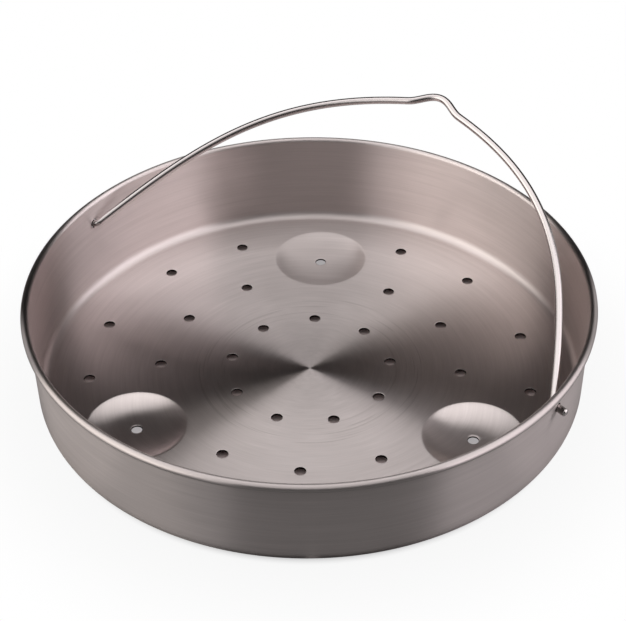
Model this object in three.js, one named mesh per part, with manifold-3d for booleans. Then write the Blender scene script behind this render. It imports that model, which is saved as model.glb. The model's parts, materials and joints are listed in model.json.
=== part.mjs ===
// Perforated steamer insert: a pressed pan that stands on three dimples, lifted by a wire bail.
// Millimetres, +Z up. The origin is on the pan's axis, level with the underside of the feet.
// X runs along the bail's pivot line and through one of the feet.
import * as THREE from 'three';
import { mergeVertices } from 'three/addons/utils/BufferGeometryUtils.js';
import Module from 'manifold-3d';

// Pan: sheet, wall and rolled lip
const sheet = 0.8;
const rimRadius = 110; // outside of the lip
const lipRadius = 1.6; // outside of the half-round roll
const panHeight = 39.3; // top of the floor to the crown of the lip
const wallDraft = 1.0; // how far the wall leans in from the lip to the floor
const cornerRadius = 5; // inside bend between floor and wall

// Feet: three shallow round dimples, each flattened underneath where it stands
const footCount = 3;
const footRing = 74.2;
const dimpleRadius = 19.3;
const dimpleDepth = 2.2;
const footFlatRadius = 5;

// Perforations: rings of round holes, repeated between each pair of feet
const holeRadius = 2.1;
const innerRing = 32;
const innerHoles = 9;
const middleRing = 59.6;
const middleAngles = [-30, 0, 30]; // degrees from the line midway between two feet
const outerRing = 87.3;
const outerAngles = [-36.8, -14, 14, 36.8];

// Bail: round wire, its turned-out ends running in two holes in the wall
const wireRadius = 1.5;
const pivotBelowLip = 9.4; // crown of the lip down to the pivot line
const pivotClearance = 0.6; // around the wire, because its ends slope
const endSlope = 13; // degrees that the turned-out ends droop
const endLength = 4; // from the wall's outside to the tip
const bendRadius = 3.4; // middle of the wire
const armGap = 2.9; // wall's inside to the middle of an arm's lower end
const armFoot = 4; // pivot line up to an arm's lower end
const armSlope = 68; // degrees from the pivot line, at that end
const armPull = 47; // length that the arm keeps to its slope
const shoulderPull = 60.5; // length that the arch keeps to its slope beside the hump
const humpHeight = 5.8;
const humpHalfWidth = 12.2;
const humpRound = 4.8; // pull of the hump's curve at its crest and at its foot
const archSlope = 17; // degrees that the arch falls, at the hump's foot
const crestInset = 1.2; // middle of the lip in to the crest, so the folded bail lands on the lip
const lean = 65.3; // degrees that the bail leans from upright towards +Y

// Fineness of the round shapes
const panSegments = 72;
const bendSteps = 4;
const lipSteps = 6;
const dimpleSegments = 24;
const dimpleSteps = 5;
const holeSegments = 12;
const wireSides = 10;
const wireSteps = 120;

const wasm = await Module();
wasm.setup();

const radians = THREE.MathUtils.degToRad;

// Levels and radii that follow from the sizes above
const dishRadius = (dimpleRadius ** 2 + dimpleDepth ** 2) / (2 * dimpleDepth);
const footSag = dishRadius - Math.sqrt(dishRadius ** 2 - footFlatRadius ** 2);
const floorTop = dimpleDepth + sheet - footSag;
const lipCrown = floorTop + panHeight;
const lipMiddle = rimRadius - lipRadius;
const lipLevel = lipCrown - lipRadius;
const wallTopInside = rimRadius - 2 * lipRadius;
const wallBottomInside = wallTopInside - wallDraft;
const pivotLevel = lipCrown - pivotBelowLip;

// Radius of the wall's inside at a height above the feet
function wallInside(level) {
  const share = (level - floorTop) / (lipLevel - floorTop);
  return wallBottomInside + wallDraft * share;
}

// Points along a circular arc, angles in degrees, both ends included
function arc(centreX, centreY, radius, from, to, steps) {
  return Array.from({ length: steps + 1 }, (_, i) => {
    const angle = radians(from + ((to - from) * i) / steps);
    return new THREE.Vector2(centreX + radius * Math.cos(angle), centreY + radius * Math.sin(angle));
  });
}

// A solid of revolution about Z from a profile of radius and height
function turned(profile, segments) {
  return new THREE.LatheGeometry(profile, segments).rotateX(Math.PI / 2);
}

// A closed three.js geometry as a solid that can be joined and cut
function solid(geometry) {
  const bare = geometry.clone();
  bare.deleteAttribute('normal');
  bare.deleteAttribute('uv');
  const merged = mergeVertices(bare);
  const corners = merged.index.array;
  const triVerts = [];
  for (let i = 0; i < corners.length; i += 3) {
    const [a, b, c] = corners.slice(i, i + 3);
    if (a !== b && b !== c && c !== a) triVerts.push(a, b, c);
  }
  const vertProperties = new Float32Array(merged.attributes.position.array);
  const mesh = new wasm.Mesh({ numProp: 3, vertProperties, triVerts: new Uint32Array(triVerts) });
  return new wasm.Manifold(mesh);
}

// The solid back as a three.js geometry
function geometryOf(body) {
  const mesh = body.getMesh();
  const geometry = new THREE.BufferGeometry();
  geometry.setAttribute('position', new THREE.BufferAttribute(mesh.vertProperties, 3));
  geometry.setIndex(new THREE.BufferAttribute(mesh.triVerts, 1));
  geometry.computeVertexNormals();
  return geometry;
}

// A point at a radius and an angle in degrees around the pan's axis
function around(radius, degrees) {
  return [radius * Math.cos(radians(degrees)), radius * Math.sin(radians(degrees))];
}

// Floor, wall and lip as one sheet profile, turned about the axis
function panShell() {
  const cornerLevel = floorTop + cornerRadius;
  const cornerInside = wallInside(cornerLevel) - cornerRadius;
  const outerBend = cornerRadius + sheet;
  const profile = [
    new THREE.Vector2(0, floorTop - sheet),
    ...arc(cornerInside, cornerLevel, outerBend, -90, 0, bendSteps),
    ...arc(lipMiddle, lipLevel, lipRadius - sheet, 180, 0, lipSteps),
    ...arc(lipMiddle, lipLevel, lipRadius, 0, 180, lipSteps),
    ...arc(cornerInside, cornerLevel, cornerRadius, 0, -90, bendSteps),
    new THREE.Vector2(0, floorTop),
  ];
  return solid(turned(profile, panSegments));
}

// A dimple's hollow, and the lower bulge that it leaves under the floor
function dimpleProfiles() {
  const rimAngle = THREE.MathUtils.radToDeg(Math.asin(dimpleRadius / dishRadius));
  const flatAngle = THREE.MathUtils.radToDeg(Math.asin(footFlatRadius / dishRadius));
  const dishCentre = floorTop - dimpleDepth + dishRadius;
  const above = floorTop + sheet;
  const withinSheet = floorTop - sheet / 2;
  const hollow = [
    ...arc(0, dishCentre, dishRadius, -90, rimAngle - 90, dimpleSteps),
    new THREE.Vector2(dimpleRadius, above),
    new THREE.Vector2(0, above),
  ];
  const bulge = [
    new THREE.Vector2(0, 0),
    ...arc(0, dishCentre - sheet, dishRadius, flatAngle - 90, rimAngle - 90, dimpleSteps),
    new THREE.Vector2(dimpleRadius, withinSheet),
    new THREE.Vector2(0, withinSheet),
  ];
  return { hollow, bulge };
}

// Every place where the floor is pierced: the rings of holes and one in each foot
function perforations() {
  const places = [];
  for (let i = 0; i < innerHoles; i += 1) places.push(around(innerRing, (i * 360) / innerHoles));
  for (let foot = 0; foot < footCount; foot += 1) {
    const footAngle = (foot * 360) / footCount;
    const midway = footAngle + 180 / footCount;
    places.push(around(footRing, footAngle));
    for (const angle of middleAngles) places.push(around(middleRing, midway + angle));
    for (const angle of outerAngles) places.push(around(outerRing, midway + angle));
  }
  return places;
}

function steamerPan() {
  const { hollow, bulge } = dimpleProfiles();
  const footPlaces = Array.from({ length: footCount }, (_, i) => around(footRing, (i * 360) / footCount));
  let pan = panShell();
  for (const [x, y] of footPlaces) pan = pan.add(solid(turned(bulge, dimpleSegments).translate(x, y, 0)));
  for (const [x, y] of footPlaces) {
    pan = pan.subtract(solid(turned(hollow, dimpleSegments).translate(x, y, 0)));
  }
  const punchLength = 4 * (floorTop + sheet);
  const punch = new THREE.CylinderGeometry(holeRadius, holeRadius, punchLength, holeSegments);
  punch.rotateX(Math.PI / 2);
  for (const [x, y] of perforations()) pan = pan.subtract(solid(punch.clone().translate(x, y, 0)));
  const pivotHole = wireRadius + pivotClearance;
  const drill = new THREE.CylinderGeometry(pivotHole, pivotHole, 2 * (rimRadius + endLength), holeSegments);
  drill.rotateZ(Math.PI / 2).translate(0, 0, pivotLevel);
  return geometryOf(pan.subtract(solid(drill)));
}

// Right half of the bail's middle line, from crest to tip: x along the pivot line, y up the arch
function bailHalf() {
  const inside = wallInside(pivotLevel);
  const crest = lipMiddle - crestInset;
  const archWay = new THREE.Vector2(Math.cos(radians(archSlope)), -Math.sin(radians(archSlope)));
  const armWay = new THREE.Vector2(Math.cos(radians(armSlope)), -Math.sin(radians(armSlope)));
  const endWay = new THREE.Vector2(Math.cos(radians(endSlope)), -Math.sin(radians(endSlope)));
  const humpFoot = new THREE.Vector2(humpHalfWidth, crest - humpHeight);
  const humpIn = humpFoot.clone().addScaledVector(archWay, -humpRound);
  const shoulder = humpFoot.clone().addScaledVector(archWay, shoulderPull);
  const armEnd = new THREE.Vector2(inside - armGap, armFoot);
  const arm = armEnd.clone().addScaledVector(armWay, -armPull);
  // The arm's line meets the end's line, which crosses the pivot line inside the wall
  const throughWall = new THREE.Vector2(inside + sheet / 2, 0);
  const run = throughWall.clone().sub(armEnd).cross(endWay) / armWay.cross(endWay);
  const corner = armEnd.clone().addScaledVector(armWay, run);
  const bendReach = bendRadius * Math.tan(radians(armSlope - endSlope) / 2);
  const bendStart = corner.clone().addScaledVector(armWay, -bendReach);
  const bendEnd = corner.clone().addScaledVector(endWay, bendReach);
  const tip = throughWall.clone().addScaledVector(endWay, sheet / 2 + endLength);
  const half = new THREE.Path();
  half.moveTo(0, crest);
  half.bezierCurveTo(humpRound, crest, humpIn.x, humpIn.y, humpFoot.x, humpFoot.y);
  half.bezierCurveTo(shoulder.x, shoulder.y, arm.x, arm.y, armEnd.x, armEnd.y);
  half.lineTo(bendStart.x, bendStart.y);
  half.quadraticCurveTo(corner.x, corner.y, bendEnd.x, bendEnd.y);
  half.lineTo(tip.x, tip.y);
  return half.getSpacedPoints(wireSteps);
}

function bailWire() {
  const half = bailHalf();
  const right = half.map((p) => new THREE.Vector3(p.x, 0, p.y));
  const left = half.slice(1).map((p) => new THREE.Vector3(-p.x, 0, p.y));
  const middleLine = new THREE.CatmullRomCurve3([...left.reverse(), ...right]);
  const section = new THREE.Shape(arc(0, 0, wireRadius, 0, 360, wireSides).slice(1));
  return new THREE.ExtrudeGeometry(section, { steps: wireSteps, extrudePath: middleLine });
}

function steel(color, roughness) {
  return new THREE.MeshStandardMaterial({ color, roughness, metalness: 1 });
}

const pan = new THREE.Mesh(steamerPan(), steel(0xb4adaa, 0.35));
pan.name = 'steamer_pan';

const bail = new THREE.Mesh(bailWire(), steel(0xcfc8c5, 0.2));
bail.name = 'bail_handle';
const bailPivot = new THREE.Group();
bailPivot.position.z = pivotLevel;
bailPivot.rotation.x = -radians(lean);
bailPivot.add(bail);

const steamerInsert = new THREE.Group();
steamerInsert.name = 'steamer_insert';
steamerInsert.add(pan, bailPivot);

export default steamerInsert;
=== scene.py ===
import json
import math
import bpy
from mathutils import Matrix, Vector


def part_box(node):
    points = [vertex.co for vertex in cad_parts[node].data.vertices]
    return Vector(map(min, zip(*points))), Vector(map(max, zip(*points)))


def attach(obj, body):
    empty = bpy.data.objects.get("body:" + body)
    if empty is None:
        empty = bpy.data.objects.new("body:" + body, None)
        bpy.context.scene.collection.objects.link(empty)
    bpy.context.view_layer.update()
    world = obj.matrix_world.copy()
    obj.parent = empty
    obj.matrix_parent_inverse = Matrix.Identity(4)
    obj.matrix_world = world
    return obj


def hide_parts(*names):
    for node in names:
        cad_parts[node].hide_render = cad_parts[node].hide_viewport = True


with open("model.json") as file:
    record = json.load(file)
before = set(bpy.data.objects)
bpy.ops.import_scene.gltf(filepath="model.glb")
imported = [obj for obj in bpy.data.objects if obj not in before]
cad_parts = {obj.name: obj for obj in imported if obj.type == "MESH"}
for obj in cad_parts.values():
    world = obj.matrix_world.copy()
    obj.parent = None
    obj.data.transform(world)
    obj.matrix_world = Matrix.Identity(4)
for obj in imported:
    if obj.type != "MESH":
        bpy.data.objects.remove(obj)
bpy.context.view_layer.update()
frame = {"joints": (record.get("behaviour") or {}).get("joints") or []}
print("frame loaded")

mm = 0.001  # the dictionaries hold millimetres and degrees, unless a note says otherwise
scene = bpy.context.scene
scene.view_settings.view_transform = "Standard"

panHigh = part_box("steamer_pan")[1]
rimRadius = panHigh.x / mm
lipCrown = panHigh.z / mm
pivotLevel = frame["joints"][0]["pos_m"][2] / mm


# Small helpers for node trees and meshes

def addNode(tree, kind, **settings):
    node = tree.nodes.new(kind)
    for name, value in settings.items():
        setattr(node, name, value)
    return node


def feed(tree, source, socket):
    # an output is linked, anything else is set on the socket
    if isinstance(source, bpy.types.NodeSocket):
        tree.links.new(source, socket)
    else:
        socket.default_value = source


def feedInOrder(tree, node, *sources):
    for source, socket in zip(sources, node.inputs):
        feed(tree, source, socket)
    return node.outputs


def useNode(tree, kind, inputs, **settings):
    # a new node fed by the names of its inputs, for its first output
    node = addNode(tree, kind, **settings)
    for name, source in inputs.items():
        feed(tree, source, node.inputs[name])
    return node.outputs[0]


def maths(tree, operation, *values):
    return feedInOrder(tree, addNode(tree, "ShaderNodeMath", operation=operation), *values)[0]


def vectorMaths(tree, operation, *values):
    outputs = feedInOrder(tree, addNode(tree, "ShaderNodeVectorMath", operation=operation), *values)
    return outputs["Value" if operation == "LENGTH" else "Vector"]


def combine(tree, x, y, z):
    return feedInOrder(tree, addNode(tree, "ShaderNodeCombineXYZ"), x, y, z)[0]


def split(tree, vector):
    return feedInOrder(tree, addNode(tree, "ShaderNodeSeparateXYZ"), vector)


def newTree(name, inputs):
    tree = bpy.data.node_groups.new(name, "GeometryNodeTree")
    for label, kind in inputs.items():
        tree.interface.new_socket(label, in_out="INPUT", socket_type="NodeSocket" + kind)
    tree.interface.new_socket("Geometry", in_out="OUTPUT", socket_type="NodeSocketGeometry")
    return tree, addNode(tree, "NodeGroupInput").outputs


def endTree(tree, geometry):
    tree.links.new(geometry, addNode(tree, "NodeGroupOutput").inputs[0])


def circleCurve(tree, radius, sides):
    return useNode(tree, "GeometryNodeCurvePrimitiveCircle",
                   {"Radius": radius, "Resolution": sides}, mode="RADIUS")


def realized(tree, geometry):
    return useNode(tree, "GeometryNodeRealizeInstances", {"Geometry": geometry})


def smoothed(tree, geometry):
    return useNode(tree, "GeometryNodeSetShadeSmooth", {"Geometry": geometry})


def painted(tree, geometry, steel, where=True):
    return useNode(tree, "GeometryNodeSetMaterial",
                   {"Geometry": geometry, "Selection": where, "Material": steel})


def useTree(piece, tree, values):
    modifier = piece.modifiers.new(tree.name, "NODES")
    modifier.node_group = tree
    for item in tree.interface.items_tree:
        if item.in_out == "INPUT" and item.name in values:
            modifier[item.identifier] = values[item.name]


def newPiece(name, data):
    piece = bpy.data.objects.new(name, data)
    scene.collection.objects.link(piece)
    return piece


def meshOf(name, points, faces):
    mesh = bpy.data.meshes.new(name)
    mesh.from_pydata([Vector(p) * mm for p in points], [], faces)
    return mesh


def addValues(mesh, name, values):
    # a number on each point of a mesh, for its material
    mesh.attributes.new(name, "FLOAT", "POINT").data.foreach_set("value", values)


def plainMesh(piece):
    graph = bpy.context.evaluated_depsgraph_get()
    return bpy.data.meshes.new_from_object(piece.evaluated_get(graph), depsgraph=graph)


# Profiles are lists of radius and height, turned about an upright axis

def arc(middle, level, radius, start, end, steps):
    angles = [math.radians(start + (end - start) * i / steps) for i in range(steps + 1)]
    return [(middle + radius * math.cos(a), level + radius * math.sin(a)) for a in angles]


def spaced(start, end, steps):
    return [start + (end - start) * i / steps for i in range(steps + 1)]


def turn(profile, columns, leaveOut=()):
    points = []
    for radius, level in profile:
        for column in range(columns):
            angle = 2 * math.pi * column / columns
            points.append((radius * math.cos(angle), radius * math.sin(angle), level))
    faces = []
    for row in range(len(profile) - 1):
        for column in range(columns):
            if (row, column) in leaveOut:
                continue
            here = row * columns + column
            beside = row * columns + (column + 1) % columns
            faces.append((here, here + columns, beside + columns, beside))
    return points, faces


# Pressed pan: wall, corner and rolled lip

pan = {
    "sheet": 0.8,
    "height": 39.3,  # floor to the crown of the lip
    "lipWidth": 3.2,
    "innerBend": 1.45,
    "outerBend": 1.35,
    "lipSlope": 32.0,  # fall of the flat between the two bends
    "lipCurl": 50.0,  # how far the outer bend goes on under
    "lipFinish": 0.85,  # wall to where the lip's own finish starts
    "wallDraft": 1.0,  # how far the wall leans in at the floor
    "cornerRadius": 5.0,
    "innerCorner": 3.8,  # the press leaves the inside of the bend tighter
    "floorMargin": 0.5,  # flat ring beside the corner
    "punchedEdge": 0.95,  # share of a hole's rounded edge that counts as its side and takes its painted shade
    "weld": 0.002,  # points as near as this are joined
    "columns": 288,
    "cornerSteps": 14,
    "lipSteps": 14,
    "endSteps": 6,  # rounded edge of the sheet under the lip
    "wallRows": 8,  # corner to pivot window
    "lipRows": 3,  # pivot window to lip
}
pivot = {
    "radius": 1.75,  # the wire's 1.5 and a little play
    "edge": 0.15,  # rounding of the punched edge
    "edgeSteps": 3,
    "windowHalf": 4.2,  # half height of the patch of wall around the hole
    "windowColumns": 8,
    "windowRows": 8,
    "patchRings": (0.6, 0.32, 0.12, 0.0),  # share of the way from hole to patch edge
}
sheet = pan["sheet"]
floorTop = lipCrown - pan["height"]
floorBottom = floorTop - sheet
lipMiddle = rimRadius - pan["lipWidth"] / 2
lipLevel = lipCrown - pan["lipWidth"] / 2
wallTop = rimRadius - pan["lipWidth"]


def wallRadius(level):
    return wallTop - pan["wallDraft"] * (lipLevel - level) / (lipLevel - floorTop)


def corner(radius):
    # middle and level of a bend between floor and wall
    level = floorTop + radius
    return wallRadius(level) - radius, level


cornerMiddle, cornerLevel = corner(pan["cornerRadius"])
floorEdge = cornerMiddle - pan["floorMargin"]


def wallLevels():
    low = pivotLevel - pivot["windowHalf"]
    high = pivotLevel + pivot["windowHalf"]
    levels = spaced(cornerLevel, low, pan["wallRows"])
    levels += spaced(low, high, pivot["windowRows"])[1:]
    return levels + spaced(high, lipLevel, pan["lipRows"])[1:]


def lipRows(depth):
    # over the inner bend, down the slope and under the outer bend
    inner, outer, steps = pan["innerBend"], pan["outerBend"], pan["lipSteps"]
    slope, slopeStart = math.radians(pan["lipSlope"]), 90 - pan["lipSlope"]
    flat = (pan["lipWidth"] - inner - outer + (outer - inner) * math.sin(slope)) / math.cos(slope)
    level = lipCrown - inner
    rows = arc(wallTop + inner, level, inner - depth, 180, slopeStart, steps)
    level += (inner - outer) * math.cos(slope) - flat * math.sin(slope)
    return rows + arc(rimRadius - outer, level, outer - depth, slopeStart, -pan["lipCurl"], steps)


def wallProfile(levels):
    rows = [(floorEdge, floorTop)]
    rows += arc(*corner(pan["innerCorner"]), pan["innerCorner"], -90, 0, pan["cornerSteps"])
    innerRow = len(rows) - 1
    rows += [(wallRadius(level), level) for level in levels[1:-1]]
    rows += lipRows(0)
    under = -pan["lipCurl"]
    rows += arc(*lipRows(sheet / 2)[-1], sheet / 2, under, under - 180, pan["endSteps"])[1:-1]
    rows += reversed(lipRows(sheet))
    outerRow = len(rows) - 1
    rows += [(wallRadius(level) + sheet, level) for level in reversed(levels[1:-1])]
    rows += arc(cornerMiddle, cornerLevel, pan["cornerRadius"] + sheet, 0, -90, pan["cornerSteps"])
    rows.append((floorEdge, floorBottom))
    return rows, innerRow, outerRow


def wallPoint(side, across, up, depth):
    # a place on the wall: along it and up it from a pivot, and into the sheet
    level = pivotLevel + up
    angle = side + across / wallRadius(pivotLevel)
    radius = wallRadius(level) + depth
    return (radius * math.cos(angle), radius * math.sin(angle), level)


def windowEdge():
    # column and row steps round the patch, anticlockwise from its lower left
    wide, tall = pivot["windowColumns"], pivot["windowRows"]
    edge = [(i, 0) for i in range(wide)] + [(wide, i) for i in range(tall)]
    return edge + [(wide - i, tall) for i in range(wide)] + [(0, tall - i) for i in range(tall)]


def addPivotHole(points, faces, side, rowOf):
    wide, tall = pivot["windowColumns"], pivot["windowRows"]
    columnWidth = 2 * math.pi * wallRadius(pivotLevel) / pan["columns"]
    baseColumn = round(side / (2 * math.pi) * pan["columns"]) - wide // 2
    edge = windowEdge()
    reach = [((i - wide / 2) * columnWidth, (j / tall * 2 - 1) * pivot["windowHalf"]) for i, j in edge]
    halfWide = columnWidth * wide / 2
    turns = [math.atan2(v / pivot["windowHalf"], u / halfWide) for u, v in reach]
    mouth = pivot["radius"] + pivot["edge"]

    def addRing(radius, share, depth):
        first = len(points)
        for (u, v), a in zip(reach, turns):
            across = radius * math.cos(a) * (1 - share) + u * share
            up = radius * math.sin(a) * (1 - share) + v * share
            points.append(wallPoint(side, across, up, depth))
        return list(range(first, first + len(edge)))

    def bridge(outer, inner, flip):
        for k in range(len(edge)):
            n = (k + 1) % len(edge)
            quad = (outer[k], outer[n], inner[n], inner[k])
            faces.append(quad[::-1] if flip else quad)

    mouths = []
    for depth, flip in ((0, True), (sheet, False)):
        ring = [rowOf(j, flip) * pan["columns"] + (baseColumn + i) % pan["columns"] for i, j in edge]
        for share in pivot["patchRings"]:
            inner = addRing(mouth, share, depth)
            bridge(ring, inner, flip)
            ring = inner
        mouths.append(ring)

    # the lining of the hole, rounded at both mouths
    ring = mouths[0]
    rounding = arc(mouth, pivot["edge"], pivot["edge"], 270, 180, pivot["edgeSteps"])
    lining = rounding[1:] + [(radius, sheet - depth) for radius, depth in reversed(rounding)][:-1]
    for radius, depth in lining:
        inner = addRing(radius, 0, depth)
        bridge(ring, inner, True)
        ring = inner
    bridge(ring, mouths[1], True)


def withoutStrays(points, faces):
    # drops the points that no face uses
    used = sorted({i for face in faces for i in face})
    renumbered = {old: new for new, old in enumerate(used)}
    return [points[i] for i in used], [tuple(renumbered[i] for i in face) for face in faces]


def markPunched(mesh, hole, away):
    # 1 on the sides of a punched hole, by distance from its middle: these are rougher and take a painted
    # shade
    inside = (hole["radius"] + hole["edge"] * pan["punchedEdge"]) * mm
    addValues(mesh, "shadedPunchedSides", [float(away(v.co) < inside) for v in mesh.vertices])


def makeWall():
    levels = wallLevels()
    rows, innerRow, outerRow = wallProfile(levels)
    lowest = pan["wallRows"]

    def rowOf(step, inside):
        place = lowest + step
        return innerRow + place if inside else outerRow + len(levels) - 1 - place

    leaveOut = set()
    for side in (0, pan["columns"] // 2):
        for i in range(-pivot["windowColumns"] // 2, pivot["windowColumns"] // 2):
            for j in range(pivot["windowRows"]):
                leaveOut.add((rowOf(j, True), (side + i) % pan["columns"]))
                leaveOut.add((rowOf(j + 1, False), (side + i) % pan["columns"]))
    points, faces = turn(rows, pan["columns"], leaveOut)
    for side in (0, math.pi):
        addPivotHole(points, faces, side, rowOf)
    mesh = meshOf("pressedPan", *withoutStrays(points, faces))
    markPunched(mesh, pivot, lambda p: math.hypot(p.y, p.z - pivotLevel * mm))
    return newPiece("pressedPan", mesh)


# Floor: perforations and dimpled feet

holes = {
    "radius": 2.1,
    "edge": 0.2,  # rounding of the punched edge
    "edgeSteps": 4,
    "margin": 0.5,  # flat ring round each hole
    "segments": 40,
    "rings": {  # ring radius, first angle, step and how many between two feet
        "Inner": (32.0, 0.0, 40.0, 3),
        "Middle": (59.6, 30.0, 30.0, 3),
        "Outer Pair": (87.3, 46.0, 28.0, 2),
        "Outer Flank": (87.3, 23.2, 73.6, 2),
    },
}
feet = {
    "count": 3,
    "ring": 74.2,
    "radius": 19.3,
    "depth": 2.2,
    "steepening": 1.6,  # power of the radius by which the dish gets steeper
    "brow": 0.6,  # half width of the rounding where the dimple leaves the floor
    "browSteps": 6,
    "dishSteps": 14,
    "margin": 0.5,
    "segments": 96,
}
ringInputs = {"Radius": "Float", "First Angle": "Float", "Step Angle": "Float", "Each": "Int"}


def holeLining(low, high):
    # from under the sheet to its top, with both edges rounded
    radius, edge, steps = holes["radius"], holes["edge"], holes["edgeSteps"]
    lower = arc(radius + edge, low + edge, edge, 270, 180, steps)
    return lower + arc(radius + edge, high - edge, edge, 180, 90, steps)


def holeCollar():
    opening = holes["radius"] + holes["edge"] + holes["margin"]
    return [(opening, floorBottom)] + holeLining(floorBottom, floorTop) + [(opening, floorTop)], opening


def footDimple():
    # nearly flat where the foot stands, and steeper up to a rounded brow
    mouth = holes["radius"] + holes["edge"]
    steepest, brow = feet["radius"] - feet["brow"], feet["radius"] + feet["brow"]
    radii = spaced(mouth, steepest, feet["dishSteps"]) + spaced(steepest, brow, feet["browSteps"])[1:]
    slopes = [min((r / steepest) ** feet["steepening"], (brow - r) / (brow - steepest)) for r in radii]
    rise = [0.0]
    for i in range(1, len(radii)):
        rise.append(rise[-1] + (slopes[i - 1] + slopes[i]) / 2 * (radii[i] - radii[i - 1]))
    upper = [(r, floorTop - feet["depth"] * (1 - up / rise[-1])) for r, up in zip(radii, rise)]
    opening = brow + feet["margin"]
    upper.append((opening, floorTop))
    lower = [(radius, max(0, level - sheet)) for radius, level in reversed(upper[1:])]
    lining = holeLining(0, upper[0][1])
    return lower + lining + upper[1:], opening


def punchedUnit(name, profile, segments):
    # the turned shape round one hole of the floor
    mesh = meshOf(name, *turn(profile, segments))
    markPunched(mesh, holes, lambda p: p.xy.length)
    return newPiece(name, mesh)


def makeRingTree():
    tree, given = newTree("perforationRing", {**ringInputs, "Sectors": "Int"})
    index = addNode(tree, "GeometryNodeInputIndex").outputs[0]
    sector = maths(tree, "FLOOR", maths(tree, "DIVIDE", index, given["Each"]))
    within = maths(tree, "SUBTRACT", index, maths(tree, "MULTIPLY", sector, given["Each"]))
    sectorAngle = maths(tree, "DIVIDE", 360.0, given["Sectors"])
    angle = maths(tree, "MULTIPLY_ADD", within, given["Step Angle"], given["First Angle"])
    angle = maths(tree, "RADIANS", maths(tree, "MULTIPLY_ADD", sector, sectorAngle, angle))
    x = maths(tree, "MULTIPLY", given["Radius"], maths(tree, "COSINE", angle))
    y = maths(tree, "MULTIPLY", given["Radius"], maths(tree, "SINE", angle))
    count = maths(tree, "MULTIPLY", given["Each"], given["Sectors"])
    places = {"Count": count, "Position": combine(tree, x, y, 0.0)}
    endTree(tree, useNode(tree, "GeometryNodePoints", places))
    return tree


def makeFloorTree(ringTree):
    inputs = {
        "Wall": "Geometry", "Floor Radius": "Float", "Floor Segments": "Int",
        "Floor Top": "Float", "Floor Bottom": "Float",
        "Hole Opening": "Float", "Hole Segments": "Int", "Hole Collar": "Object",
        "Foot Opening": "Float", "Foot Segments": "Int", "Foot Dimple": "Object",
        "Sectors": "Int", "Weld": "Float", "Steel": "Material",
        "Lip Inside": "Float", "Lip Steel": "Material",
    }
    for ring in [*holes["rings"], "Foot"]:
        for label, kind in ringInputs.items():
            inputs[ring + " " + label] = kind
    tree, given = newTree("perforatedFloor", inputs)

    def ringPoints(ring):
        sizes = {label: given[ring + " " + label] for label in ringInputs}
        return useNode(tree, "GeometryNodeGroup", {**sizes, "Sectors": given["Sectors"]}, node_tree=ringTree)

    def joined(parts):
        node = addNode(tree, "GeometryNodeJoinGeometry")
        for part in parts:
            tree.links.new(part, node.inputs[0])
        return node.outputs[0]

    def onPoints(places, unit):
        return useNode(tree, "GeometryNodeInstanceOnPoints", {"Points": places, "Instance": unit})

    def shapeOf(thing):
        node = addNode(tree, "GeometryNodeObjectInfo", transform_space="ORIGINAL")
        feed(tree, thing, node.inputs["Object"])
        return node.outputs["Geometry"]

    def atLevel(geometry, level):
        return useNode(tree, "GeometryNodeTransform",
                       {"Geometry": geometry, "Translation": combine(tree, 0.0, 0.0, level)})

    holePlaces = joined([ringPoints(ring) for ring in holes["rings"]])
    footPlaces = ringPoints("Foot")
    edges = joined([
        circleCurve(tree, given["Floor Radius"], given["Floor Segments"]),
        onPoints(holePlaces, circleCurve(tree, given["Hole Opening"], given["Hole Segments"])),
        onPoints(footPlaces, circleCurve(tree, given["Foot Opening"], given["Foot Segments"])),
    ])
    fill = useNode(tree, "GeometryNodeFillCurve", {"Curve": realized(tree, edges)}, mode="TRIANGLES")
    whole = joined([
        given["Wall"],
        atLevel(fill, given["Floor Top"]),
        useNode(tree, "GeometryNodeFlipFaces", {"Mesh": atLevel(fill, given["Floor Bottom"])}),
        onPoints(holePlaces, shapeOf(given["Hole Collar"])),
        onPoints(footPlaces, shapeOf(given["Foot Dimple"])),
    ])
    welded = useNode(tree, "GeometryNodeMergeByDistance",
                     {"Geometry": realized(tree, whole), "Distance": given["Weld"]})
    x, y = split(tree, addNode(tree, "GeometryNodeInputPosition").outputs[0])[:2]
    radius = vectorMaths(tree, "LENGTH", combine(tree, x, y, 0.0))
    onLip = maths(tree, "GREATER_THAN", radius, given["Lip Inside"])
    pressed = painted(tree, smoothed(tree, welded), given["Steel"])
    endTree(tree, painted(tree, pressed, given["Lip Steel"], onLip))
    return tree


def makePan(steel, lipSteel):
    piece = makeWall()
    collarProfile, holeOpening = holeCollar()
    dimpleProfile, footOpening = footDimple()
    collar = punchedUnit("holeCollar", collarProfile, holes["segments"])
    dimple = punchedUnit("footDimple", dimpleProfile, feet["segments"])
    values = {
        "Floor Radius": floorEdge * mm, "Floor Segments": pan["columns"],
        "Floor Top": floorTop * mm, "Floor Bottom": floorBottom * mm,
        "Hole Opening": holeOpening * mm, "Hole Segments": holes["segments"], "Hole Collar": collar,
        "Foot Opening": footOpening * mm, "Foot Segments": feet["segments"], "Foot Dimple": dimple,
        "Sectors": feet["count"], "Weld": pan["weld"] * mm, "Steel": steel,
        "Lip Inside": (wallTop + pan["lipFinish"]) * mm, "Lip Steel": lipSteel,
    }
    rings = {**holes["rings"], "Foot": (feet["ring"], 0.0, 0.0, 1)}
    for ring, (radius, *spacing) in rings.items():
        for label, value in zip(ringInputs, (radius * mm, *spacing)):
            values[ring + " " + label] = value
    useTree(piece, makeFloorTree(makeRingTree()), values)
    mesh = plainMesh(piece)
    mesh.materials.pop(index=0)  # the empty slot of the bare parts
    piece.modifiers.clear()
    piece.data = mesh
    for unit in (collar, dimple):
        bpy.data.objects.remove(unit)
    print("pan made,", len(mesh.polygons), "faces")
    return piece


# Wire bail

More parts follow.
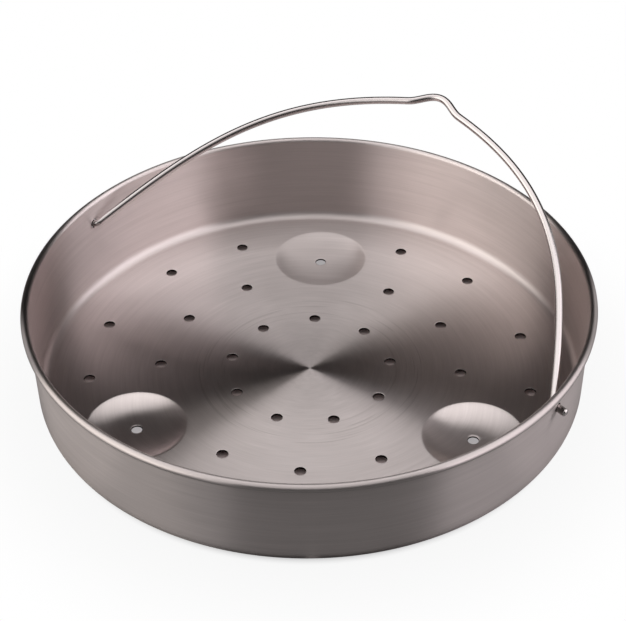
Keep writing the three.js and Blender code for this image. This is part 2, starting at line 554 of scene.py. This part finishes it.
bail = {
    "wireRadius": 1.5,
    "lean": 65.3,  # from upright towards +Y
    "crestInset": 1.2,  # middle of the lip in to the crest
    "humpHeight": 5.8,
    "humpHalfWidth": 12.2,
    "humpRound": 4.8,  # pull of the hump's curve
    "archSlope": 17.0,
    "shoulderPull": 60.5,
    "armSlope": 68.0,
    "armPull": 47.0,
    "armGap": 2.9,  # wall to the arm's lower end
    "armFoot": 4.0,  # pivot line up to that end
    "bendRadius": 3.4,
    "endSlope": 13.0,
    "endLength": 4.0,  # wall's outside to the tip
    "endRound": 0.7,  # rounding of the cut ends
    "pathSteps": 48,  # between two knots of the middle line
    "step": 0.35,  # length between rings of the wire
    "sides": 28,
}


def slopeWay(degrees):
    return Vector((math.cos(math.radians(degrees)), -math.sin(math.radians(degrees))))


def bailKnots():
    # right half of the middle line: each knot with its two handles, crest to tip
    inside = wallRadius(pivotLevel)
    crest = Vector((0, lipMiddle - bail["crestInset"]))
    archWay, armWay, endWay = (slopeWay(bail[k]) for k in ("archSlope", "armSlope", "endSlope"))
    humpFoot = Vector((bail["humpHalfWidth"], crest.y - bail["humpHeight"]))
    armEnd = Vector((inside - bail["armGap"], bail["armFoot"]))
    through = Vector((inside + sheet / 2, 0))
    run = (through - armEnd).cross(endWay) / armWay.cross(endWay)
    bend = armEnd + armWay * run  # where the arm and the end would meet
    bendReach = bail["bendRadius"] * math.tan(math.radians(bail["armSlope"] - bail["endSlope"]) / 2)
    bendStart = bend - armWay * bendReach
    bendEnd = bend + endWay * bendReach
    tip = through + endWay * (sheet / 2 + bail["endLength"])
    roundWay = Vector((bail["humpRound"], 0))
    return [
        (crest - roundWay, crest, crest + roundWay),
        (humpFoot - archWay * bail["humpRound"], humpFoot, humpFoot + archWay * bail["shoulderPull"]),
        (armEnd - armWay * bail["armPull"], armEnd, armEnd.lerp(bendStart, 1 / 3)),
        (armEnd.lerp(bendStart, 2 / 3), bendStart, bendStart.lerp(bend, 2 / 3)),
        (bendEnd.lerp(bend, 2 / 3), bendEnd, bendEnd.lerp(tip, 1 / 3)),
        (bendEnd.lerp(tip, 2 / 3), tip, tip),
    ]


def bailPath():
    half = bailKnots()
    mirrored = [tuple(Vector((-p.x, p.y)) for p in reversed(knot)) for knot in reversed(half[1:])]
    knots = mirrored + half
    lean = math.radians(bail["lean"])

    def inSpace(p):
        return Vector((p.x, p.y * math.sin(lean), pivotLevel + p.y * math.cos(lean))) * mm

    curve = bpy.data.curves.new("bailPath", "CURVE")
    curve.dimensions = "3D"
    curve.resolution_u = bail["pathSteps"]
    spline = curve.splines.new("BEZIER")
    spline.bezier_points.add(len(knots) - 1)
    for point, knot in zip(spline.bezier_points, knots):
        point.handle_left_type = point.handle_right_type = "FREE"
        point.handle_left, point.co, point.handle_right = (inSpace(p) for p in knot)
    return newPiece("bailPath", curve)


def makeWireTree():
    tree, given = newTree("bentWire", {
        "Path": "Geometry", "Wire Radius": "Float", "Wire Sides": "Int",
        "Ring Step": "Float", "End Round": "Float", "Steel": "Material",
    })
    rings = useNode(tree, "GeometryNodeResampleCurve",
                    {"Curve": given["Path"], "Length": given["Ring Step"]}, mode="LENGTH")
    along = addNode(tree, "GeometryNodeSplineParameter").outputs["Length"]
    length = addNode(tree, "GeometryNodeSplineLength").outputs["Length"]
    # near both ends the wire narrows along a quarter round
    toEnd = maths(tree, "MINIMUM", along, maths(tree, "SUBTRACT", length, along))
    share = maths(tree, "SUBTRACT", 1.0, maths(tree, "DIVIDE", toEnd, given["End Round"]))
    share = maths(tree, "MINIMUM", maths(tree, "MAXIMUM", share, 0.0), 1.0)
    left = maths(tree, "SUBTRACT", 1.0, maths(tree, "MULTIPLY", share, share))
    drop = maths(tree, "SUBTRACT", 1.0, maths(tree, "SQRT", left))
    drop = maths(tree, "MULTIPLY", drop, maths(tree, "DIVIDE", given["End Round"], given["Wire Radius"]))

    def held(name, kind, curve, value):
        # the curve takes the value with it into the mesh
        node = addNode(tree, "GeometryNodeCaptureAttribute")
        node.capture_items.new(kind, name)
        feedInOrder(tree, node, curve, value)
        return node

    # the lay of the wire: round its section and along its length
    wire = held("along", "FLOAT", rings, along)
    section = held("around", "VECTOR", circleCurve(tree, given["Wire Radius"], given["Wire Sides"]),
                   addNode(tree, "GeometryNodeInputPosition").outputs[0])
    swept = useNode(tree, "GeometryNodeCurveToMesh", {
        "Curve": wire.outputs[0], "Profile Curve": section.outputs[0],
        "Scale": maths(tree, "SUBTRACT", 1.0, drop), "Fill Caps": True,
    })
    x, y = split(tree, section.outputs[1])[:2]
    laid = useNode(tree, "GeometryNodeStoreNamedAttribute", {
        "Geometry": swept, "Name": "wireLay", "Value": combine(tree, x, y, wire.outputs[1]),
    }, data_type="FLOAT_VECTOR", domain="POINT")
    endTree(tree, painted(tree, realized(tree, smoothed(tree, laid)), given["Steel"]))
    return tree


def makeBail(steel):
    path = bailPath()
    useTree(path, makeWireTree(), {
        "Wire Radius": bail["wireRadius"] * mm, "Wire Sides": bail["sides"],
        "Ring Step": bail["step"] * mm, "End Round": bail["endRound"] * mm, "Steel": steel,
    })
    mesh = plainMesh(path)
    bpy.data.objects.remove(path)
    print("bail made,", len(mesh.polygons), "faces")
    return newPiece("wireBail", mesh)


# Steel finishes

panFinish = {
    "pale": (0.66, 0.590, 0.577, 1),
    "deep": (0.52, 0.461, 0.449, 1),
    "tone": 0.5,  # place of the plain steel between deep and pale
    "strokeContrast": 0.75,
    "middleShade": 0.85,  # the turned middle of the floor is a little darker
    "middleRoughness": 0.295,
    "middleReach": (8.0, 46.0),  # radii between which the finish changes
    "roughness": 0.325,
    "footRoughness": 0.30,
    "footDepths": (0.5, 0.1),  # below the floor, between which the feet's finish comes and goes
    "lipRoughness": 0.30,
    "lipAnisotropy": 0.95,
    "lipShade": 0.75,
    "brushRoughness": 0.02,  # how much the strokes change it
    "anisotropy": 0.99,
    "glossTurn": 0.25,  # of a full turn: the gloss spreads across the strokes
    "fineBrush": (2000.0, 3.0, 3.0),  # strokes per metre, how soon one fades round the axis, and detail
    "broadBrush": (520.0, 3.0, 2.0),
    "bumpHeight": 0.008,
    "markBrush": (900.0, 1.3, 1.0),  # turning marks, in the same terms
    "markEdges": (0.56, 0.70),  # values of that noise between which a mark shows
    "markZone": (30.0, 37.0, 43.0, 48.0),  # radii where the marks come and go
    "markLevel": 0.99,  # share of the floor's level over which they show
    "markTone": 0.7,  # how much darker they are
    "markHeight": 2.5,  # as many stroke heights
    "grooveLean": 2.6,  # outward lean of the turning grooves at the middle of the floor
    "grooveLeanReach": 66.0,  # radius at which it turns over
    "shadedPunchedSides": (0.014, 0.010, 0.009, 1),  # painted shade: the sides of the punched holes, near black
    "punchedRoughness": 0.6,
}
bailFinish = {
    "colour": (0.53, 0.483, 0.475, 1),
    "roughness": 0.17,
    "lineRoughness": 0.03,  # how much the drawing lines change it
    "drawLines": (2500.0, 2500.0, 12.0),  # per metre, both ways across the wire and along it
    "lineDetail": 2.0,
    "bumpHeight": 0.001,
    "bumpStrength": 0.15,
}


def newMaterial(name):
    material = bpy.data.materials.new(name)
    material.use_nodes = True
    return material, material.node_tree, material.node_tree.nodes["Principled BSDF"]


def noise(tree, vector, detail):
    return useNode(tree, "ShaderNodeTexNoise", {"Vector": vector, "Scale": 1.0, "Detail": detail})


def ramp(tree, value, ends, results, unit=mm):
    # an eased change between two lengths
    return useNode(tree, "ShaderNodeMapRange", {
        "Value": value, "From Min": ends[0] * unit, "From Max": ends[1] * unit,
        "To Min": results[0], "To Max": results[1],
    }, interpolation_type="SMOOTHSTEP")


def mixColour(tree, share, low, high, blend="MIX"):
    node = addNode(tree, "ShaderNodeMix", data_type="RGBA", blend_type=blend)
    feed(tree, share, node.inputs["Factor"])
    feed(tree, low, node.inputs[6])
    feed(tree, high, node.inputs[7])
    return node.outputs[2]


def panSteel(name, roughness, anisotropy, shade):
    material, tree, shader = newMaterial(name)
    x, y, z = split(tree, addNode(tree, "ShaderNodeTexCoord").outputs["Object"])
    flat = combine(tree, x, y, 0.0)
    radius = vectorMaths(tree, "LENGTH", flat)
    outward = vectorMaths(tree, "NORMALIZE", flat)
    outX, outY = split(tree, outward)[:2]

    def strokes(across, fineness, turns, detail):
        # noise drawn out round the axis
        place = combine(tree, across, outX, outY)
        return noise(tree, vectorMaths(tree, "MULTIPLY", place, (fineness, turns, turns)), detail)

    reach = maths(tree, "ADD", radius, z)  # runs across the floor and up the wall
    fine = strokes(reach, *panFinish["fineBrush"])
    broad = strokes(reach, *panFinish["broadBrush"])
    shift = maths(tree, "SUBTRACT", maths(tree, "ADD", fine, broad), 1.0)
    below = ramp(tree, z, [floorTop - depth for depth in panFinish["footDepths"]], (1.0, 0.0))
    pressed = maths(tree, "MULTIPLY", below, maths(tree, "LESS_THAN", radius, floorEdge * mm))

    # a few broken rings left by the turning
    marks = ramp(tree, strokes(radius, *panFinish["markBrush"]), panFinish["markEdges"], (0.0, 1.0), 1)
    zone = panFinish["markZone"]
    onFloor = maths(tree, "GREATER_THAN", z, floorTop * panFinish["markLevel"] * mm)
    comes, goes = ramp(tree, radius, zone[:2], (0.0, 1.0)), ramp(tree, radius, zone[2:], (1.0, 0.0))
    for limit in (comes, goes, onFloor):
        marks = maths(tree, "MULTIPLY", marks, limit)

    shadedPunchedSides = addNode(tree, "ShaderNodeAttribute", attribute_name="shadedPunchedSides").outputs["Fac"]
    base = ramp(tree, radius, panFinish["middleReach"], (panFinish["middleRoughness"], roughness))
    base = ramp(tree, pressed, (0, 1), (base, panFinish["footRoughness"]), 1)
    base = maths(tree, "MULTIPLY_ADD", shift, panFinish["brushRoughness"], base)
    base = ramp(tree, shadedPunchedSides, (0, 1), (base, panFinish["punchedRoughness"]), 1)
    feed(tree, base, shader.inputs["Roughness"])

    tone = maths(tree, "MULTIPLY_ADD", shift, panFinish["strokeContrast"], panFinish["tone"])
    tone = maths(tree, "SUBTRACT", tone, maths(tree, "MULTIPLY", marks, panFinish["markTone"]))
    dim = ramp(tree, radius, panFinish["middleReach"], (panFinish["middleShade"], shade))
    colour = mixColour(tree, tone, panFinish["deep"], panFinish["pale"])
    colour = mixColour(tree, 1.0, colour, combine(tree, dim, dim, dim), "MULTIPLY")
    # the sides of the holes are painted near black, as shade in the holes
    feed(tree, mixColour(tree, shadedPunchedSides, colour, panFinish["shadedPunchedSides"]), shader.inputs["Base Color"])

    # a slope that eases from the middle and turns over near the edge, in units of the stroke height
    stroke = panFinish["bumpHeight"] * mm
    span = panFinish["grooveLeanReach"] * mm
    fall = math.tan(math.radians(panFinish["grooveLean"])) / stroke
    within = maths(tree, "MINIMUM", radius, floorEdge * mm)
    eased = maths(tree, "MULTIPLY_ADD", maths(tree, "MULTIPLY", within, within), -1 / (3 * span * span), 1.0)
    height = maths(tree, "MULTIPLY_ADD", maths(tree, "MULTIPLY", within, eased), -fall, fine)
    height = maths(tree, "MULTIPLY_ADD", marks, -panFinish["markHeight"], height)
    bump = useNode(tree, "ShaderNodeBump", {"Strength": 1.0, "Distance": stroke, "Height": height})
    feed(tree, bump, shader.inputs["Normal"])

    # the strokes run round the axis and the gloss spreads across them
    around = addNode(tree, "ShaderNodeVectorTransform", vector_type="VECTOR",
                     convert_from="OBJECT", convert_to="WORLD")
    feed(tree, vectorMaths(tree, "CROSS_PRODUCT", (0.0, 0.0, 1.0), outward), around.inputs[0])
    feed(tree, around.outputs[0], shader.inputs["Tangent"])
    shader.inputs["Metallic"].default_value = 1
    shader.inputs["Anisotropic"].default_value = anisotropy
    shader.inputs["Anisotropic Rotation"].default_value = panFinish["glossTurn"]
    return material


def drawnBailSteel():
    material, tree, shader = newMaterial("drawnBailSteel")
    lay = addNode(tree, "ShaderNodeAttribute", attribute_name="wireLay").outputs["Vector"]
    lines = noise(tree, vectorMaths(tree, "MULTIPLY", lay, bailFinish["drawLines"]), bailFinish["lineDetail"])
    roughness = maths(tree, "MULTIPLY_ADD", lines, bailFinish["lineRoughness"], bailFinish["roughness"])
    feed(tree, roughness, shader.inputs["Roughness"])
    bump = useNode(tree, "ShaderNodeBump", {
        "Strength": bailFinish["bumpStrength"], "Distance": bailFinish["bumpHeight"] * mm, "Height": lines,
    })
    feed(tree, bump, shader.inputs["Normal"])
    shader.inputs["Base Color"].default_value = bailFinish["colour"]
    shader.inputs["Metallic"].default_value = 1
    return material


brushedPanSteel = panSteel(
    "brushedPanSteel", panFinish["roughness"], panFinish["anisotropy"], 1.0)
polishedLipSteel = panSteel(
    "polishedLipSteel", panFinish["lipRoughness"], panFinish["lipAnisotropy"], panFinish["lipShade"])
panPiece = makePan(brushedPanSteel, polishedLipSteel)
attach(panPiece, "pan")
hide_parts("steamer_pan")

bailPiece = makeBail(drawnBailSteel())
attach(bailPiece, "bail")
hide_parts("bail_handle")


# Camera

camera = {
    "azimuth": 33.92,  # as the pan is turned in the photograph
    "pitch": 37.90,
    "roll": -0.79,
    "eye": (300.3, -443.9, 449.05),
    "lens": 100.94,  # on a 36 mm sensor
}


def makeCamera():
    data = bpy.data.cameras.new("photoCamera")
    data.lens = camera["lens"]
    eye = newPiece("photoCamera", data)
    turned = Matrix.Rotation(math.radians(camera["azimuth"]), 4, "Z")
    tilted = Matrix.Rotation(math.radians(90 - camera["pitch"]), 4, "X")
    rolled = Matrix.Rotation(math.radians(camera["roll"]), 4, "Z")
    eye.matrix_world = Matrix.Translation(Vector(camera["eye"]) * mm) @ turned @ tilted @ rolled
    scene.camera = eye
    print("camera set")


# Studio: white sweep, wide softboxes, dark flags and two pale cards

studio = {
    "floorRadius": 6000.0,
    "floorSides": 96,
    "paper": (0.42, 0.42, 0.42, 1),
    "underPaper": (0.68, 0.56, 0.545, 1),  # under the pan, apart from the ring where the feet stand
    "feetBand": (3.0, 5.0),
    "underPan": (94.0, 105.0),  # radii between which the floor stops showing as bare paper
    "feetGlow": (0.40, 0.38, 0.385, 1),  # painted light: under the feet the floor glows this grey to the camera, seen through the holes of the feet
    "shadowShare": 0.08,  # how much of its own shading the camera sees there
    "shadowReach": (105.0, 160.0),  # radii between which that share goes
    "metalWhite": (400.0, 1500.0),  # radii between which the floor turns white in reflections
    "ambient": 0.5,
}
softboxes = {  # place: aside, behind and above the pan, as the camera sees it
    "topSoftbox": {"place": (0.0, 514.0, 1800.0), "size": (2800.0, 2000.0), "radiance": 0.55,
                   "colour": (1.0, 1.0, 1.0)},
    "leftSoftbox": {"place": (-1320.0, -230.0, 680.0), "size": (2000.0, 1350.0), "radiance": 1.0,
                    "colour": (1.0, 0.97, 0.90)},
    "rightSoftbox": {"place": (1320.0, -230.0, 680.0), "size": (2000.0, 1350.0), "radiance": 0.85,
                     "colour": (1.0, 0.94, 0.99)},
}
lampWatts = 4.0  # of an area lamp, for a square metre at a radiance of 1
flagRadius = 900.0  # where the upright flags stand and the ones on the table end
tableLevel = 0.5  # flags on the table lie just over the floor
flagSteps = {"across": 24, "softSide": 8, "up": 8, "softTop": 6}
lipCard = {"softSides": 9.0, "radii": (118.0, 118.0), "heights": (41.0, 56.0), "glow": 0.75}
flags = {  # bearings run clockwise from straight behind the pan, as the camera sees it
    "backFlag": {"bearings": (-54.0, 48.0), "softSides": 14.0, "softTop": 3.0, "glow": 0.02,
                 "top": ((-75, 50), (-60, 53), (-40, 54), (-20, 51), (0, 50), (20, 49), (40, 50), (65, 47))},
    "backTable": {"bearings": (-54.0, 48.0), "softSides": 14.0, "radii": (600.0, flagRadius), "glow": 0.02},
    "frontFlag": {"bearings": (140.0, 204.0), "softSides": 7.0, "softTop": 26.0, "glow": 0.05,
                  "top": ((130, 38), (215, 38))},
    "frontTable": {"bearings": (131.0, 228.0), "softSides": 6.0, "radii": (111.0, flagRadius), "glow": 0.21},
    # painted contact shadow: a dark ring that only reflections see, round the foot of the pan
    "contactFlag": {"bearings": (-178.0, 178.0), "softSides": 2.0, "radii": (98.0, 111.0), "glow": 0.02},
    "rightCard": {"bearings": (87.0, 97.0), **lipCard},
    "leftCard": {"bearings": (253.0, 262.0), **lipCard},
}


def bearingAngle(bearing):
    return math.radians(camera["azimuth"] + 90 - bearing)


def whiteRays(tree):
    # the background shows white to the camera, in metal and through glass
    path = addNode(tree, "ShaderNodeLightPath").outputs
    metal = maths(tree, "MAXIMUM", path["Is Glossy Ray"], path["Is Transmission Ray"])
    return path["Is Camera Ray"], metal


def mixShader(tree, share, low, high):
    return feedInOrder(tree, addNode(tree, "ShaderNodeMixShader"), share, low, high)[0]


def bareMaterial(name):
    # without its shader, and no lamp where it glows
    material, tree, shader = newMaterial(name)
    tree.nodes.remove(shader)
    material.cycles.emission_sampling = "NONE"
    return material, tree, tree.nodes["Material Output"].inputs["Surface"]


def makeWorld():
    world = bpy.data.worlds.new("studioWorld")
    world.use_nodes = True
    world.cycles.sampling_method = "NONE"
    tree = world.node_tree
    tree.nodes.clear()

    def sky(strength):
        return useNode(tree, "ShaderNodeBackground", {"Color": (1, 1, 1, 1), "Strength": strength})

    white = maths(tree, "MAXIMUM", *whiteRays(tree))
    mixed = mixShader(tree, white, sky(studio["ambient"]), sky(1.0))
    feed(tree, mixed, addNode(tree, "ShaderNodeOutputWorld").inputs["Surface"])
    scene.world = world


def floorMaterial():
    material, tree, surface = bareMaterial("paleFloor")
    radius = vectorMaths(tree, "LENGTH", addNode(tree, "ShaderNodeTexCoord").outputs["Object"])
    fromFeet = maths(tree, "ABSOLUTE", maths(tree, "SUBTRACT", radius, feet["ring"] * mm))
    outside = ramp(tree, radius, studio["underPan"], (0.0, 1.0))
    atFeet = ramp(tree, fromFeet, studio["feetBand"], (1.0, 0.0))
    bare = maths(tree, "MAXIMUM", outside, atFeet)

    def whitening(ray, radii, most):
        return maths(tree, "MULTIPLY", ray, ramp(tree, radius, radii, (0.0, most)))

    cameraRay, metalRay = whiteRays(tree)
    beside = maths(tree, "MULTIPLY_ADD", maths(tree, "MULTIPLY", cameraRay, bare), 1 - studio["shadowShare"],
                   whitening(cameraRay, studio["shadowReach"], studio["shadowShare"]))
    share = maths(tree, "ADD", beside, whitening(metalRay, studio["metalWhite"], 1.0))
    paperColour = mixColour(tree, bare, studio["underPaper"], studio["paper"])
    # the glow is white beyond the pan and a painted light under the feet
    whiteAndFeetGlow = mixColour(tree, outside, studio["feetGlow"], (1, 1, 1, 1))
    paper = useNode(tree, "ShaderNodeBsdfDiffuse", {"Color": paperColour})
    white = useNode(tree, "ShaderNodeEmission", {"Color": whiteAndFeetGlow})
    feed(tree, mixShader(tree, share, paper, white), surface)
    return material


def makeFloor():
    rim = arc(0, 0, studio["floorRadius"], 0, 360, studio["floorSides"])[:-1]
    points = [(0, 0, 0)] + [(x, y, 0) for x, y in rim]
    faces = [(0, 1 + i, 1 + (i + 1) % len(rim)) for i in range(len(rim))]
    floor = newPiece("paleFloor", meshOf("paleFloor", points, faces))
    floor.data.materials.append(floorMaterial())


def between(knots, place):
    # straight-line reading of a list of places and values
    for (low, first), (high, second) in zip(knots, knots[1:]):
        if place <= high:
            break
    return first + (second - first) * (place - low) / (high - low)


def flagSection(flag, bearing):
    # radius, height and cover: between two edges, or upright at the back of the table with a soft top
    if "radii" in flag:
        heights = flag.get("heights", (tableLevel, tableLevel))
        return [(radius, height, 1.0) for radius, height in zip(flag["radii"], heights)]
    top = between(flag["top"], bearing)
    section = []
    for share in spaced(0, 1, flagSteps["up"]) + spaced(1, 2, flagSteps["softTop"])[1:]:
        over = max(0.0, share - 1)
        level = math.tan(math.radians(min(share, 1) * top + over * flag["softTop"]))
        section.append((flagRadius, tableLevel + flagRadius * level, 1 - over))
    return section


def makeFlag(name, flag):
    # a card that only reflections see, with soft sides
    start, end = flag["bearings"]
    soft = flag["softSides"]
    bearings = spaced(start - soft, start, flagSteps["softSide"])
    bearings += spaced(start, end, flagSteps["across"])[1:]
    bearings += spaced(end, end + soft, flagSteps["softSide"])[1:]
    points, faces, covers = [], [], []
    for bearing in reversed(bearings):
        turned = bearingAngle(bearing)
        aside = max(start - bearing, bearing - end, 0.0) / soft
        section = flagSection(flag, bearing)
        points += [(r * math.cos(turned), r * math.sin(turned), z) for r, z, cover in section]
        covers += [cover * (1 - aside) for r, z, cover in section]
    for i in range(len(bearings) - 1):
        for j in range(len(section) - 1):
            here = i * len(section) + j
            faces.append((here, here + 1, here + 1 + len(section), here + len(section)))
    card = newPiece(name, meshOf(name, points, faces))
    addValues(card.data, "cover", covers)
    material, tree, surface = bareMaterial(name)
    cover = addNode(tree, "ShaderNodeAttribute", attribute_name="cover").outputs["Fac"]
    clear = addNode(tree, "ShaderNodeBsdfTransparent").outputs[0]
    glow = useNode(tree, "ShaderNodeEmission", {"Strength": flag["glow"]})
    feed(tree, mixShader(tree, cover, clear, glow), surface)
    card.data.materials.append(material)
    card.visible_camera = card.visible_diffuse = card.visible_shadow = False
    card.visible_transmission = False


def makeSoftbox(name, box):
    aside, behind, level = box["place"]
    data = bpy.data.lights.new(name, "AREA")
    data.shape = "RECTANGLE" if aside else "ELLIPSE"
    data.size, data.size_y = (side * mm for side in box["size"])
    area = data.size * data.size_y * (1 if aside else math.pi / 4)
    data.energy = lampWatts * area * box["radiance"]
    data.color = box["colour"]
    lamp = newPiece(name, data)
    back, right = bearingAngle(0), bearingAngle(90)
    lamp.location = Vector((
        behind * math.cos(back) + aside * math.cos(right),
        behind * math.sin(back) + aside * math.sin(right), level)) * mm
    # the lamp looks at the pan, and the one overhead straight down with its width across the view
    away = lamp.location if aside else Vector((0, 0, 1))
    turned = away.to_track_quat("Z", "Y").to_euler()
    if not aside:
        turned.z = right
    lamp.rotation_euler = turned
    lamp.visible_camera = False


makeCamera()
makeWorld()
makeFloor()
for flagName, flag in flags.items():
    makeFlag(flagName, flag)
for boxName, box in softboxes.items():
    makeSoftbox(boxName, box)
print("studio set")
